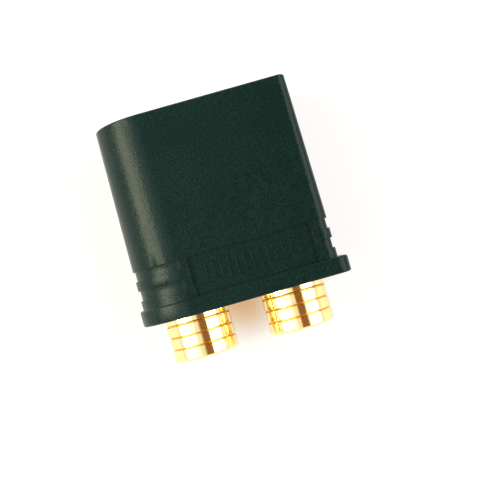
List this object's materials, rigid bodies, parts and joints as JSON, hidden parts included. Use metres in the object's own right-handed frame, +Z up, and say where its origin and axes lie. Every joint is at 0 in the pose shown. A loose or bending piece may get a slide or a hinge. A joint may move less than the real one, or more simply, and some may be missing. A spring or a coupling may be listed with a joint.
{
  "type": "two-pole battery lead connector",
  "caption": "Polarised battery lead connector: a moulded housing with a mating sheath and flange, and turned gold-plated contacts with ringed solder cups.",
  "frame": {"origin": "centre of the whole connector's box seen from above, on the plane it rests on", "axes": "+Z up, out of the upper wide face; +Y out of the mating sheath along the contacts; +X from the round narrow end to the flat one"},
  "size_m": [0.017, 0.0196, 0.009],
  "materials": {
    "housing_nylon": "satin moulded nylon, very dark green-black",
    "contact_gold": "bright gold plating on turned brass"
  },
  "bodies": {
    "root": {"housing": "housing_nylon", "contact_positive": "contact_gold", "contact_negative": "contact_gold"}
  },
  "joints": []
}
